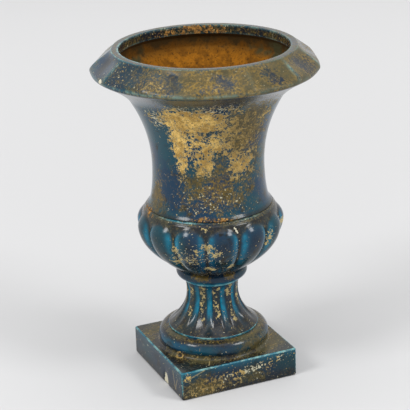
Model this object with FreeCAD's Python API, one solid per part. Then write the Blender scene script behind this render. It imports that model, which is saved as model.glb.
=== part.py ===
import FreeCAD, Part
import math
import os

# Cast iron garden urn: a waisted bell over a gadrooned bowl, a fluted stem and a square plinth.
# The four hollow castings stack on spigots. One tie rod clamps bowl, stem and plinth together,
# and a ring of small bolts holds the bell on the bowl.
# Frame: origin at the centre of the plinth's underside, +Z up, plinth sides along X and Y, in mm.

# Shared sizes
wall = 8.0                      # casting wall
fit_clearance = 0.3             # between a spigot and its socket, all round
lobe_count = 13                 # gadroons, and the hollows of the rim
lobe_turn = -117.2              # direction of a gadroon groove, degrees from +X
flute_count = 12
flute_turn = -120.4             # direction of a flute

# Plinth casting
plinth_side = 163.6
plinth_height = 39.0
plinth_bevel = 1.2              # top edges and upright edges
plinth_wall = 9.0
torus_radius = 72.6
torus_height = 23.5
torus_foot_radius = 65.0        # where the torus meets the top of the plinth
torus_top_radius = 61.0

# Fluted stem
stem_height = 66.0
foot_radius = 59.0              # sharp edge at the stem's foot
foot_step = 2.7                 # upright band below that edge
neck_radius = 32.6
stem_top_radius = 36.0
foot_spigot_radius = 45.7
foot_spigot_height = 6.0
top_spigot_radius = 24.5
top_spigot_height = 7.0
top_spigot_wall = 3.5           # the stem's bore runs on through this spigot
flute_share = 0.52              # flute's part of one flute and fillet
flute_depth = 3.0               # at its deepest; it runs out at both ends
foot_ledge = 0.4                # foot band beyond the foot of the flutes

# Gadrooned bowl
bowl_height = 104.0
bowl_radius = 95.8              # widest point, on the gadroon crests
bowl_shoulder_height = 22.2     # bowl's top above its widest point
gadroon_relief = 6.5            # crest above groove at the widest point
gadroon_foot_radius = 46.5      # crests where they meet the collar
gadroon_foot_relief = 2.6
gadroon_top_relief = 1.0
collar_ring_radius = 38.6
collar_ring_height = 2.3
collar_radius = 45.5
collar_quirk = 1.0              # small step at either end of the collar's round
collar_belly_height = 12.8
collar_height = 17.5
bead_radius = 2.6               # roll round the top of the bowl
floor_height = 21.5             # top of the bowl's floor above its seat
floor_radius = 33.0
drain_count = 3
drain_radius = 3.0

# Bell casting
bell_base_radius = 77.0
base_groove = 1.6               # bevel that makes the groove above the bowl's bead
waist_radius = 72.0
waist_height = 54.0             # above the bell's seat
throat_radius = 98.0
throat_height = 145.0           # above the bell's seat
cove_height = 32.9              # rim's lower edge above the throat
cove_slope = 28.0               # of the cove where it meets the rim, degrees from level
flare_power = 2.1
rim_radius = 144.8
rim_edge_inset = 2.4            # sharp lower edge, in from the widest point
rim_edge_drop = 29.6            # lower edge below the lip
mouth_overhang = 9.5            # mouth's radius beyond the throat's
lip_width = 9.2
lip_band = 12.0                 # upright band inside the mouth
lip_undercut = 4.5
hollow_depth = 3.0              # hollows between the rim's tongues, measured level
rim_step = 0.6                  # small square step under the rim's lower edge

# Bolted flange between bell and bowl
flange_thickness = 7.0
flange_bolt_count = 4
flange_bolt_gap = 8.0           # from a bolt's axis to the bell's wall, and to the flange's bore

# Fasteners
tie_rod_radius = 6.0
tie_nut_width = 19.0            # across flats
tie_nut_height = 10.0
tie_washer_radius = 12.0
tie_washer_thickness = 2.5
tie_rod_end = 4.5               # rod past each nut
bolt_radius = 3.0
bolt_head_width = 10.0          # across flats, the same on the nuts
bolt_head_height = 4.0
bolt_nut_height = 5.0
bolt_washer_radius = 6.0
bolt_washer_thickness = 1.6
bolt_end = 2.0                  # bolt past its nut
thread_gap = 0.2                # between a thread and its nut
hole_clearance = 0.5            # round a rod or bolt that passes through
bar_end_gap = 2.8               # between the bar's ends and the plinth's walls
bar_width = 32.0
bar_thickness = 8.0

# Heights of the joints, from the ground up
torus_base = plinth_height
stem_seat = torus_base + torus_height
bowl_seat = stem_seat + stem_height
bell_seat = bowl_seat + bowl_height
plinth_ceiling = plinth_height - wall
floor_level = bowl_seat + floor_height
belly_level = bell_seat - bowl_shoulder_height
collar_level = bowl_seat + collar_height
waist_level = bell_seat + waist_height
throat_level = bell_seat + throat_height
rim_edge_level = throat_level + cove_height
lip_level = rim_edge_level + rim_edge_drop
shoulder_level = bell_seat - bead_radius
flange_top_level = bell_seat + flange_thickness
flange_bottom_level = bell_seat - flange_thickness

# Sizes that follow
rod_hole_radius = tie_rod_radius + hole_clearance
bolt_hole_radius = bolt_radius + hole_clearance
stem_socket_radius = foot_spigot_radius + fit_clearance
bowl_socket_radius = top_spigot_radius + fit_clearance
stem_bore_radius = top_spigot_radius - top_spigot_wall
drain_circle = (tie_washer_radius + stem_bore_radius) / 2
mouth_radius = throat_radius + mouth_overhang
arris_radius = mouth_radius + lip_width
rim_width = rim_radius - arris_radius
flange_bolt_circle = bell_base_radius - wall - flange_bolt_gap
flange_bore_radius = flange_bolt_circle - flange_bolt_gap
plinth_room = plinth_side - 2 * plinth_wall
bar_length = plinth_room - 2 * bar_end_gap
shoulder_radius = bell_base_radius + base_groove + 2 * bead_radius
lobe_step = 360.0 / lobe_count
flute_step = 360.0 / flute_count

UP = FreeCAD.Vector(0, 0, 1)
ORIGIN = FreeCAD.Vector(0, 0, 0)


def spot(radius, height, angle=0.0):
    """A point at a radius from the urn's axis, a height and a direction in degrees."""
    turn = math.radians(angle)
    return FreeCAD.Vector(radius * math.cos(turn), radius * math.sin(turn), height)


def line(start, end):
    return Part.LineSegment(start, end).toShape()


def bend(*poles):
    """Smooth curve from the first pole to the last, drawn towards those between."""
    curve = Part.BezierCurve()
    curve.setPoles(list(poles))
    return curve.toShape()


def swing(start, end, power, spans=4):
    """Smooth edge that leaves start upright and bends outwards by a power law."""
    points = []
    for step in range(spans + 1):
        share = step / spans
        radius = start.x + (end.x - start.x) * share ** power
        height = start.z + (end.z - start.z) * share
        points.append(spot(radius, height))
    curve = Part.BSplineCurve()
    curve.interpolate(points)
    return curve.toShape()


def turned(edges):
    """Solid turned about the urn's axis from a closed outline."""
    outline = Part.Wire(Part.__sortEdges__(edges))
    return Part.Face(outline).revolve(ORIGIN, UP, 360)


def turned_polygon(corners):
    points = [spot(radius, height) for radius, height in corners]
    return turned([line(a, b) for a, b in zip(points, points[1:] + points[:1])])


def cylinder(radius, bottom, top, place=ORIGIN):
    base = FreeCAD.Vector(place.x, place.y, bottom)
    return Part.makeCylinder(radius, top - bottom, base, UP)


def hexagon(width, bottom, top, place):
    """Hexagonal prism, width across flats."""
    corner_radius = width / math.sqrt(3)
    corners = [spot(corner_radius, bottom, 60.0 * side) + FreeCAD.Vector(place.x, place.y, 0)
               for side in range(6)]
    outline = Part.makePolygon(corners + corners[:1])
    return Part.Face(outline).extrude(UP * (top - bottom))


def ring(outer_radius, inner_radius, bottom, top, place):
    return cylinder(outer_radius, bottom, top, place).cut(cylinder(inner_radius, bottom, top, place))


def nut(width, bore_radius, bottom, top, place):
    return hexagon(width, bottom, top, place).cut(cylinder(bore_radius, bottom, top, place))


def around(shape, count, first_angle=0.0):
    """Copies of a shape, evenly spaced about the urn's axis."""
    copies = []
    for index in range(count):
        copy = shape.copy()
        copy.rotate(ORIGIN, UP, first_angle + index * 360.0 / count)
        copies.append(copy)
    return copies


def arch(height, edge_radius, middle_radius, start, end):
    """Control points of a level curve with one radius at its ends and another halfway."""
    half = (end - start) / 2
    pole_radius = 2 * middle_radius - edge_radius * math.cos(math.radians(half))
    return [spot(edge_radius, height, start), spot(pole_radius, height, start + half),
            spot(edge_radius, height, end)]


def wave(height, edge_radius, middle_radius, start, end):
    """The same, but level with the circle at its ends, so that copies run on smoothly."""
    half = math.radians(end - start) / 2
    lean = math.degrees(math.atan(half / 2))
    next_radius = edge_radius / math.cos(math.radians(lean))
    next_share = next_radius * math.cos(half - math.radians(lean))
    pole_radius = (16 * middle_radius - 2 * edge_radius * math.cos(half) - 8 * next_share) / 6
    return [spot(edge_radius, height, start), spot(next_radius, height, start + lean),
            spot(pole_radius, height, (start + end) / 2),
            spot(next_radius, height, end - lean), spot(edge_radius, height, end)]


def patch(rows):
    """Smooth face that looks outwards, drawn from rows of control points from the bottom up."""
    surface = Part.BezierSurface()
    surface.increase(len(rows[0]) - 1, len(rows) - 1)
    for row_index, row in enumerate(rows):
        for pole_index, pole in enumerate(row):
            surface.setPole(pole_index + 1, row_index + 1, pole)
    return surface.toShape()


def ornament(columns, count):
    """Solid with flat ends whose side repeats columns of patches round the axis.

    A column is a list of patches from the bottom up, each given by its rows of control points.
    """
    sides = []
    bottom_edges = []
    top_edges = []
    for column in columns:
        for rows in column:
            sides += around(patch(rows), count)
        bottom_edges += around(bend(*column[0][0]), count)
        top_edges += around(bend(*column[-1][-1]), count)
    ends = [Part.Face(Part.Wire(Part.__sortEdges__(edges))) for edges in (bottom_edges, top_edges)]
    shell = Part.makeShell(sides + ends)
    shell.sewShape()
    return Part.makeSolid(shell)


# Plinth: a hollow square block with a torus on top and a hole for the stem's foot spigot
def plinth_casting():
    corner = FreeCAD.Vector(-plinth_side / 2, -plinth_side / 2, 0)
    block = Part.makeBox(plinth_side, plinth_side, plinth_height, corner)
    bevelled = [edge for edge in block.Edges if edge.BoundBox.ZMax > plinth_height / 2]
    block = block.makeChamfer(plinth_bevel, bevelled)
    belly = spot(torus_radius, (torus_base + stem_seat) / 2)
    foot = spot(torus_foot_radius, torus_base)
    top = spot(torus_top_radius, stem_seat)
    torus = turned([
        line(spot(0, torus_base), foot),
        Part.Arc(foot, belly, top).toShape(),
        line(top, spot(0, stem_seat)),
        line(spot(0, stem_seat), spot(0, torus_base)),
    ])
    hollow_corner = FreeCAD.Vector(-plinth_room / 2, -plinth_room / 2, 0)
    hollow = Part.makeBox(plinth_room, plinth_room, plinth_ceiling, hollow_corner)
    socket_floor = stem_seat - foot_spigot_height - wall
    throat = turned_polygon([
        (0, 0), (torus_top_radius - wall / 2, 0), (torus_top_radius - wall / 2, plinth_ceiling),
        (stem_socket_radius, socket_floor), (stem_socket_radius, stem_seat), (0, stem_seat),
    ])
    return block.fuse(torus).cut(hollow).cut(throat).removeSplitter()


# Stem: a waisted hollow shaft with concave flutes that run out at both ends
def fluted_shaft():
    """Shaft between the foot edge and the bowl: flutes and fillets side by side."""
    bottom = stem_seat + foot_step
    # control values from the foot up: shares of the foot's flare, the top's flare, the flute's depth
    stations = [
        (1.0, 0.0, 0.0),
        (0.4, 0.0, 0.3),
        (0.1, 0.0, 1.4),
        (0.0, 0.0, 1.4),
        (0.0, 0.0, 1.1),
        (0.0, 1.0, 0.0),
    ]
    flute_end = flute_turn + flute_step * flute_share / 2
    flute_start = flute_turn - flute_step * flute_share / 2
    fillet_end = flute_start + flute_step
    flute = []
    fillet = []
    for index, (foot_share, top_share, depth_share) in enumerate(stations):
        height = bottom + (bowl_seat - bottom) * index / (len(stations) - 1)
        radius = neck_radius + (foot_radius - neck_radius) * foot_share
        radius += (stem_top_radius - neck_radius) * top_share
        flute.append(arch(height, radius, radius - flute_depth * depth_share, flute_start, flute_end))
        fillet.append(arch(height, radius, radius, flute_end, fillet_end))
    return ornament([[flute], [fillet]], flute_count)


def fluted_stem():
    foot_band = cylinder(foot_radius + foot_ledge, stem_seat, stem_seat + foot_step)
    foot_spigot = cylinder(foot_spigot_radius, stem_seat - foot_spigot_height, stem_seat)
    top_spigot = cylinder(top_spigot_radius, bowl_seat, bowl_seat + top_spigot_height)
    foot_bore_radius = foot_spigot_radius - wall / 2
    bore = turned_polygon([
        (0, stem_seat - foot_spigot_height), (foot_bore_radius, stem_seat - foot_spigot_height),
        (foot_bore_radius, stem_seat), (stem_bore_radius, (stem_seat + bowl_seat) / 2),
        (stem_bore_radius, bowl_seat + top_spigot_height), (0, bowl_seat + top_spigot_height),
    ])
    return fluted_shaft().fuse([foot_band, foot_spigot, top_spigot]).cut(bore)


# Bowl: gadroons between a collar and a bead, with a flange inside its top
def gadroon_radius_at(height):
    """Crest radius: one parabola below the belly and a tighter one above it."""
    if height < belly_level:
        share = (belly_level - height) / (belly_level - collar_level)
        return bowl_radius - (bowl_radius - gadroon_foot_radius) * share ** 2
    share = (height - belly_level) / (shoulder_level - belly_level)
    return bowl_radius - (bowl_radius - shoulder_radius) * share ** 2


def gadroons():
    """Each gadroon is two patches that meet at the belly, with a sharp groove on either side."""
    start = lobe_turn
    end = lobe_turn + lobe_step

    def row(height, crest, relief):
        return arch(height, crest - relief, crest, start, end)

    belly = row(belly_level, bowl_radius, gadroon_relief)
    lower = [
        row(collar_level, gadroon_foot_radius, gadroon_foot_relief),
        row((collar_level + belly_level) / 2, bowl_radius, gadroon_relief),
        belly,
    ]
    upper = [
        belly,
        row((belly_level + shoulder_level) / 2, bowl_radius, gadroon_relief),
        row(shoulder_level, shoulder_radius, gadroon_top_relief),
    ]
    return ornament([[lower, upper]], lobe_count)


def bowl_inside():
    """Cavity of the bowl, a wall in from the grooves, closed in by the flange at its top."""
    corners = [(0, floor_level), (floor_radius, floor_level)]
    slope_reach = 1.0
    for share in (0.3, 0.6, 1.0):
        level = floor_level + (belly_level - floor_level) * share
        lower = gadroon_radius_at(level - slope_reach)
        upper = gadroon_radius_at(level + slope_reach)
        slope = (upper - lower) / (2 * slope_reach)
        groove = gadroon_radius_at(level) - gadroon_relief
        corners.append((groove - wall * math.sqrt(1 + slope ** 2), level))
    top_groove = gadroon_radius_at(flange_bottom_level) - gadroon_relief
    corners += [
        (top_groove - wall, flange_bottom_level), (flange_bore_radius, flange_bottom_level),
        (flange_bore_radius, bell_seat), (0, bell_seat),
    ]
    return turned_polygon(corners)


def bowl_collar():
    ring_top = bowl_seat + collar_ring_height
    ovolo_foot = spot(collar_ring_radius - collar_quirk, ring_top)
    belly = spot(collar_radius, bowl_seat + collar_belly_height)
    top = spot(collar_radius - collar_quirk, collar_level)
    return turned([
        line(spot(0, bowl_seat), spot(collar_ring_radius, bowl_seat)),
        line(spot(collar_ring_radius, bowl_seat), spot(collar_ring_radius, ring_top)),
        line(spot(collar_ring_radius, ring_top), ovolo_foot),
        bend(ovolo_foot, spot(collar_radius, ring_top), belly),
        line(belly, top),
        line(top, spot(0, collar_level)),
        line(spot(0, collar_level), spot(0, bowl_seat)),
    ])


def bowl_bead():
    """Flat seat for the bell with a faceted roll round its edge."""
    inner_radius = bell_base_radius + base_groove / 2
    middle_radius = inner_radius + bead_radius
    outer_radius = middle_radius + bead_radius
    crown_level = shoulder_level + 2 * bead_radius
    facet = bead_radius * math.tan(math.radians(22.5))
    return turned_polygon([
        (0, shoulder_level), (outer_radius, shoulder_level),
        (outer_radius, bell_seat + facet), (middle_radius + facet, crown_level),
        (middle_radius - facet, crown_level), (inner_radius, bell_seat + facet),
        (inner_radius, bell_seat), (0, bell_seat),
    ])


def gadrooned_bowl():
    body = gadroons().fuse([bowl_collar(), bowl_bead()])
    socket_top = bowl_seat + top_spigot_height + fit_clearance
    cuts = [
        bowl_inside(),
        cylinder(bowl_socket_radius, bowl_seat, socket_top),
        cylinder(rod_hole_radius, bowl_seat, floor_level),
    ]
    cuts += around(cylinder(drain_radius, bowl_seat, floor_level, spot(drain_circle, 0)), drain_count)
    cuts += flange_holes(flange_bottom_level, bell_seat)
    return body.cut(cuts).removeSplitter()


# Bell: a waisted shell with an inside flange at its base and a rolled rim with tongues
def tongued_rim():
    """Rolled rim: broad tongues between hollows that run out at the lip and at the lower edge."""
    start = lobe_turn + lobe_step / 2
    edge_share = 1.0 - rim_edge_inset / rim_width
    # control values from the lower edge up: shares of the way out, the way up, the hollow's depth
    stations = [
        (edge_share, 0.0, 0.0),
        (1.2, 0.2, 0.6),
        (0.8, 0.47, 1.5),
        (0.33, 0.75, 0.7),
        (0.0, 1.0, 0.0),
    ]
    rows = []
    for out_share, up_share, depth_share in stations:
        radius = arris_radius + rim_width * out_share
        height = rim_edge_level + rim_edge_drop * up_share
        rows.append(wave(height, radius - hollow_depth * depth_share, radius, start, start + lobe_step))
    return ornament([[rows]], lobe_count)


def bell_inside():
    """Room inside the bell: the flange's bore, a tapered wall, and a pocket under the lip's band."""
    band_level = lip_level - lip_band
    pocket_radius = mouth_radius + lip_undercut
    inner_throat = spot(throat_radius - wall, throat_level)
    inner_waist = spot(waist_radius - wall, waist_level)
    path = [
        spot(pocket_radius, rim_edge_level), spot(pocket_radius, band_level - lip_undercut),
        spot(mouth_radius, band_level), spot(mouth_radius, lip_level), spot(0, lip_level),
        spot(0, bell_seat), spot(flange_bore_radius, bell_seat), spot(flange_bore_radius, flange_top_level),
        spot(bell_base_radius - wall, flange_top_level), inner_waist,
    ]
    edges = [line(a, b) for a, b in zip(path, path[1:])]
    edges += [swing(inner_waist, inner_throat, flare_power), line(inner_throat, path[0])]
    return turned(edges)


def bell_casting():
    base = spot(bell_base_radius, bell_seat + base_groove)
    waist = spot(waist_radius, waist_level)
    throat = spot(throat_radius, throat_level)
    cove_end = spot(rim_radius - rim_edge_inset - rim_step, rim_edge_level - rim_step)
    step_top = spot(cove_end.x, rim_edge_level)
    # the cove under the rim starts at the flare's own slope and ends at the slope given for it
    flare_lean = flare_power * (throat_radius - waist_radius) / (throat_level - waist_level)
    end_rise = math.tan(math.radians(cove_slope))
    cove_rise = cove_end.z - throat_level - end_rise * (cove_end.x - throat_radius)
    pole_rise = cove_rise / (1.0 - end_rise * flare_lean)
    cove_pole = spot(throat_radius + flare_lean * pole_rise, throat_level + pole_rise)
    body = turned([
        line(spot(0, bell_seat), spot(bell_base_radius - base_groove, bell_seat)),
        line(spot(bell_base_radius - base_groove, bell_seat), base),
        swing(waist, base, 2.0),
        swing(waist, throat, flare_power),
        bend(throat, cove_pole, cove_end),
        line(cove_end, step_top),
        line(step_top, spot(0, rim_edge_level)),
        line(spot(0, rim_edge_level), spot(0, bell_seat)),
    ])
    return body.fuse(tongued_rim()).cut([bell_inside()] + flange_holes(bell_seat, flange_top_level))


# Bolts, nuts and washers that hold the bell's flange on the bowl's flange
def flange_spots():
    first_angle = 180.0 / flange_bolt_count
    return [spot(flange_bolt_circle, 0, first_angle + index * 360.0 / flange_bolt_count)
            for index in range(flange_bolt_count)]


def flange_holes(bottom, top):
    return [cylinder(bolt_hole_radius, bottom, top, place) for place in flange_spots()]


bolt_head_level = flange_top_level + bolt_washer_thickness
bolt_nut_level = flange_bottom_level - bolt_washer_thickness


def flange_bolts():
    bolts = []
    for place in flange_spots():
        head = hexagon(bolt_head_width, bolt_head_level, bolt_head_level + bolt_head_height, place)
        shank_end = bolt_nut_level - bolt_nut_height - bolt_end
        bolts.append(head.fuse(cylinder(bolt_radius, shank_end, bolt_head_level, place)))
    return Part.Compound(bolts)


def flange_nuts():
    bottom = bolt_nut_level - bolt_nut_height
    return Part.Compound([nut(bolt_head_width, bolt_radius + thread_gap, bottom, bolt_nut_level, place)
                          for place in flange_spots()])


def flange_washers():
    washers = []
    for place in flange_spots():
        for bottom in (flange_top_level, bolt_nut_level):
            washers.append(ring(bolt_washer_radius, bolt_hole_radius, bottom,
                                bottom + bolt_washer_thickness, place))
    return Part.Compound(washers)


# Tie rod with its nuts and washers, and the bar that spans the plinth from below
bar_bottom = plinth_ceiling - bar_thickness
lower_washer = bar_bottom - tie_washer_thickness
lower_nut = lower_washer - tie_nut_height
upper_washer = floor_level
upper_nut = upper_washer + tie_washer_thickness


def tie_rod():
    return cylinder(tie_rod_radius, lower_nut - tie_rod_end, upper_nut + tie_nut_height + tie_rod_end)


def tie_rod_nuts():
    return Part.Compound([nut(tie_nut_width, tie_rod_radius + thread_gap, bottom,
                              bottom + tie_nut_height, ORIGIN)
                          for bottom in (lower_nut, upper_nut)])


def tie_rod_washers():
    return Part.Compound([ring(tie_washer_radius, rod_hole_radius, bottom,
                               bottom + tie_washer_thickness, ORIGIN)
                          for bottom in (lower_washer, upper_washer)])


def clamp_bar():
    corner = FreeCAD.Vector(-bar_length / 2, -bar_width / 2, bar_bottom)
    bar = Part.makeBox(bar_length, bar_width, bar_thickness, corner)
    return bar.cut(cylinder(rod_hole_radius, bar_bottom, plinth_ceiling))


parts = {
    "plinth_casting": plinth_casting(),
    "fluted_stem": fluted_stem(),
    "gadrooned_bowl": gadrooned_bowl(),
    "bell_casting": bell_casting(),
    "flange_bolts": flange_bolts(),
    "flange_nuts": flange_nuts(),
    "flange_washers": flange_washers(),
    "tie_rod": tie_rod(),
    "tie_rod_nuts": tie_rod_nuts(),
    "tie_rod_washers": tie_rod_washers(),
    "clamp_bar": clamp_bar(),
}
os.makedirs("parts", exist_ok=True)
for name, shape in parts.items():
    shape.exportStep(os.path.join("parts", name + ".step"))
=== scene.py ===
import math

import bmesh
import bpy
import numpy as np
from mathutils import Matrix, Vector


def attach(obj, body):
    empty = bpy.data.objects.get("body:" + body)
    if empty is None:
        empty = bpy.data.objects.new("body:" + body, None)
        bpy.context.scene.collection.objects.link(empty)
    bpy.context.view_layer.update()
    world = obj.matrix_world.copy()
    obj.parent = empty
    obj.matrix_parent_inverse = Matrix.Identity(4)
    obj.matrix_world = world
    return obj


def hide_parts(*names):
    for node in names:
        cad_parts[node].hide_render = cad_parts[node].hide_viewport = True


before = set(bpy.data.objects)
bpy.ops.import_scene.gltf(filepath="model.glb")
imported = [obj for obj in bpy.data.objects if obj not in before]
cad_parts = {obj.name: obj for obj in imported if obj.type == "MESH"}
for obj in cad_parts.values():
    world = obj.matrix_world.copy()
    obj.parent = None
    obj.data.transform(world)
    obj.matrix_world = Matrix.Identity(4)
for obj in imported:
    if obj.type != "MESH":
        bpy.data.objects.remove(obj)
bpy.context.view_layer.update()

# Garden urn in glossy blue enamel over iron, worn pale on its edges, with ochre crust and a rusty inside.
# The four castings are meshed here with softened edges, on the solids' sizes apart from a few millimetres
# in places. Lengths are in millimetres and angles in degrees until a mesh is made.
MM = 0.001

LOBES = 13
LOBE_STEP = 360.0 / LOBES
LOBE_TURN = -117.2  # direction of a gadroon groove
FLUTES = 12
FLUTE_STEP = 360.0 / FLUTES
FLUTE_TURN = -120.4  # direction of a flute

PLINTH_HALF = 81.8
PLINTH_HEIGHT = 39.0
PLINTH_BEVEL = 1.2
PLINTH_CORNER = 2.4  # rounding of the upright edges
UNDER_BEVEL_IN = 1.6  # bevel round the underside
UNDER_BEVEL_UP = 2.0
PLINTH_ROOM = 72.8  # half the hollow
PLINTH_CEILING = 31.0
TORUS_RADIUS = 72.6
TORUS_FOOT = 65.0
TORUS_TOP = 61.0
STEM_SEAT = 62.5
SOCKET_RADIUS = 46.0
SOCKET_FLOOR = 48.5
SOCKET_MOUTH = 57.0  # where the hole widens into the hollow
FILLET_REACH = 12.0  # glaze fillet, out from the torus's foot
FILLET_PULL = 5.5  # its middle pole
FILLET_END = 9  # point of the torus where it ends
PIT_DEPTH = 1.6
CHIP_DEPTH = 1.6

FOOT_RADIUS = 59.0
FOOT_STEP = 2.7
FOOT_LEDGE = 0.4
NECK_RADIUS = 32.6
STEM_TOP_RADIUS = 36.0
STEM_BORE = 21.0
BORE_START = 95.5  # above it the bore is straight
UNDERSIDE_COAT = 3.0  # how far the coat runs in under the foot
SPIGOT_RADIUS = 45.7
SPIGOT_BORE = 41.7
SPIGOT_FOOT = 56.5
TOP_SPIGOT_RADIUS = 24.5
TOP_SPIGOT_LEVEL = 135.5
# shares of the foot's and the top's flare, from the foot up, and of a flute's depth there
SHAFT_STATIONS = ((1.0, 0.0), (0.4, 0.0), (0.1, 0.0), (0.0, 0.0), (0.0, 0.0), (0.0, 1.0))
FLUTE_STATIONS = (0.0, 0.3, 1.4, 1.4, 1.1, 0.0)
FLUTE_SHARE = 0.52
FLUTE_DEPTH = 3.0
FLUTE_GAIN = 1.15  # deeper here than on the solid
BOWL_SEAT = 128.5

BOWL_RADIUS = 95.8
BELLY_LEVEL = 210.3
COLLAR_LEVEL = 146.0
SHOULDER_LEVEL = 229.9
SHOULDER_RADIUS = 83.6
LOBE_TOP_START = 207.0  # where the lobes start to narrow
LOBE_TOP = 227.0
GADROON_FOOT_RADIUS = 44.5
SHOULDER_PULL = 13.0  # pole between belly and shoulder
LOBE_ROUNDNESS = 0.7  # power of a lobe's bulge
GROOVE_GLAZE = 0.6  # depth of glaze that fills a groove
RING_RADIUS = 38.6
RING_HEIGHT = 3.2
COLLAR_FOOT = 37.6
COLLAR_PULL = 45.6  # pole between foot and belly
COLLAR_BELLY = (46.6, BOWL_SEAT + 10.0)
COLLAR_CROWN = (46.8, BOWL_SEAT + 14.5)  # pole between belly and top
COLLAR_TOP = 41.2
LOWER_RELIEF = (2.6, 7.6, 7.6)  # how far a gadroon stands out, from its foot to the belly
UPPER_RELIEF = (7.6, 7.6, 3.4)  # and from the belly to the shoulder
BEAD_RADIUS = 2.6
BEAD_CENTRE = 80.4
BEAD_DROP = 1.6  # its centre below the bell's seat
JOINT_RADIUS = 75.0
BELL_SEAT = 232.5
FLANGE = 7.0
FLANGE_BORE = 53.0
FLOOR_LEVEL = 150.0
FLOOR_RADIUS = 33.0
INSIDE_TOP = 74.0
INSIDE_BELLY = 81.0
INSIDE_FLANK = ((73.1, 186.2), (56.7, 168.1))  # from the belly down to the floor
BOWL_SOCKET = 24.8  # for the stem's top spigot
BOWL_SOCKET_DEPTH = 7.3
ROD_BORE = 6.5
DRAINS = 3
DRAIN_RADIUS = 3.0
DRAIN_CIRCLE = 16.5

BELL_BASE = 77.0
BASE_GROOVE = 1.8
BASE_FLARE = 4.4  # how far the bell's foot turns out
FLARE_REACH = 4.2
WAIST_RADIUS = 72.0
WAIST_LEVEL = 286.5
THROAT_RADIUS = 98.0
THROAT_LEVEL = 377.5
FLARE_POWER = 2.1
COVE_SLOPE = 28.0
RIM_EDGE_RADIUS = 142.4
RIM_EDGE_LEVEL = 410.4
RIM_STEP = 0.6
RIM_SWELL = 2.4  # beyond the edge, on the tongues
RIM_STATIONS = ((0.915, 0.0), (1.2, 0.2), (0.8, 0.47), (0.33, 0.75), (0.0, 1.0))  # shares out and up
HOLLOW_STATIONS = (0.0, 0.6, 1.5, 0.7, 0.0)  # shares of a hollow's depth there
ARRIS_RADIUS = 116.7
MOUTH_RADIUS = 107.5
LIP_LEVEL = 440.0
LIP_BAND = 12.0  # height of the upright band inside the mouth
UNDER_LIP_OUT = 4.5  # undercut below that band
UNDER_LIP_DROP = 16.5
HOLLOW_DEPTH = 7.5  # deeper here than on the solid
WALL = 8.0


def smoothstep(low, high, value):
    share = np.clip((value - low) / (high - low), 0.0, 1.0)
    return share * share * (3.0 - 2.0 * share)


def swing(start, end, power, spans=40):
    """Curve that leaves start upright and bends outwards by a power law."""
    share = np.linspace(0.0, 1.0, spans + 1)
    return np.column_stack((start[0] + (end[0] - start[0]) * share ** power,
                            start[1] + (end[1] - start[1]) * share))


def blend_poles(poles, share):
    """Bezier blend of pole values, or of pole points, at shares from 0 to 1."""
    poles = np.asarray(poles, float)
    degree = len(poles) - 1
    weights = np.stack([math.comb(degree, i) * share ** i * (1.0 - share) ** (degree - i)
                        for i in range(degree + 1)], axis=-1)
    return weights @ poles


def bezier(*poles, spans=40):
    return blend_poles(poles, np.linspace(0.0, 1.0, spans + 1))


def arc(centre, radius, start, end, spans=24):
    turn = np.radians(np.linspace(start, end, spans + 1))
    return np.column_stack((centre[0] + radius * np.cos(turn), centre[1] + radius * np.sin(turn)))


class Section:
    """Closed outline of a casting, run by run, with its corners softened like a glaze.

    Each row keeps its radius, height, the run it belongs to, its share along that run and its bend,
    which is positive on an outside edge and negative in a crease.
    """

    def __init__(self, runs, softness, gaps, fine=0.5):
        self.fine = fine
        points, zones, shares = [], [], []
        for zone, path in runs:
            path = np.asarray(path, float)
            lengths = np.r_[0.0, np.cumsum(np.linalg.norm(np.diff(path, axis=0), axis=1))]
            count = max(2, int(math.ceil(lengths[-1] / self.fine)))
            share = np.arange(count) / count
            where = share * lengths[-1]
            points.append(np.column_stack([np.interp(where, lengths, path[:, k]) for k in (0, 1)]))
            zones += [zone] * count
            shares.append(share)
        points = self.soften(np.concatenate(points), softness)
        bend = self.bends(points)
        keep = self.thin(points, zones, gaps)
        self.radius, self.height = points[keep].T
        self.zone = np.array(zones)[keep]
        self.share = np.concatenate(shares)[keep]
        self.bend = bend[keep]

    def soften(self, points, softness):
        reach = int(math.ceil(3 * softness / self.fine))
        offsets = np.arange(-reach, reach + 1)
        weights = np.exp(-0.5 * (offsets * self.fine / softness) ** 2)
        weights /= weights.sum()
        return sum(w * np.roll(points, -o, axis=0) for w, o in zip(weights, offsets))

    def bends(self, points, reach=2):
        before = points - np.roll(points, reach, axis=0)
        after = np.roll(points, -reach, axis=0) - points
        cross = before[:, 0] * after[:, 1] - before[:, 1] * after[:, 0]
        dot = (before * after).sum(axis=1)
        length = 0.5 * (np.linalg.norm(before, axis=1) + np.linalg.norm(after, axis=1))
        return np.arctan2(cross, dot) / np.maximum(length, 1e-6)

    def thin(self, points, zones, gaps, most_turn=math.radians(9.0)):
        steps = np.diff(points, axis=0, append=points[:1])
        heading = np.arctan2(steps[:, 1], steps[:, 0])
        keep = [0]
        for index in range(1, len(points)):
            turn = abs(math.remainder(heading[index] - heading[keep[-1]], math.tau))
            gap = np.linalg.norm(points[index] - points[keep[-1]])
            if zones[index] != zones[keep[-1]] or gap >= gaps.get(zones[index], 6.0) or turn >= most_turn:
                keep.append(index)
        return np.array(keep)

    def on(self, *zones):
        """1 on the rows of these runs, else 0, as a column."""
        return np.isin(self.zone, zones).astype(float)[:, None]


def spread(patches, angle, height):
    """How much of something lies at each point: soft ovals given as direction, height, half width
    in degrees, half height and strength. A strength below zero takes away."""
    total = np.zeros(np.broadcast(angle, height).shape)
    for direction, level, half_angle, half_height, strength in patches:
        aside = ((angle - direction + 180.0) % 360.0 - 180.0) / half_angle
        above = (height - level) / half_height
        total = total + strength * np.exp(-aside ** 2 - above ** 2)
    return np.maximum(total, 0.0)


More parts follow.
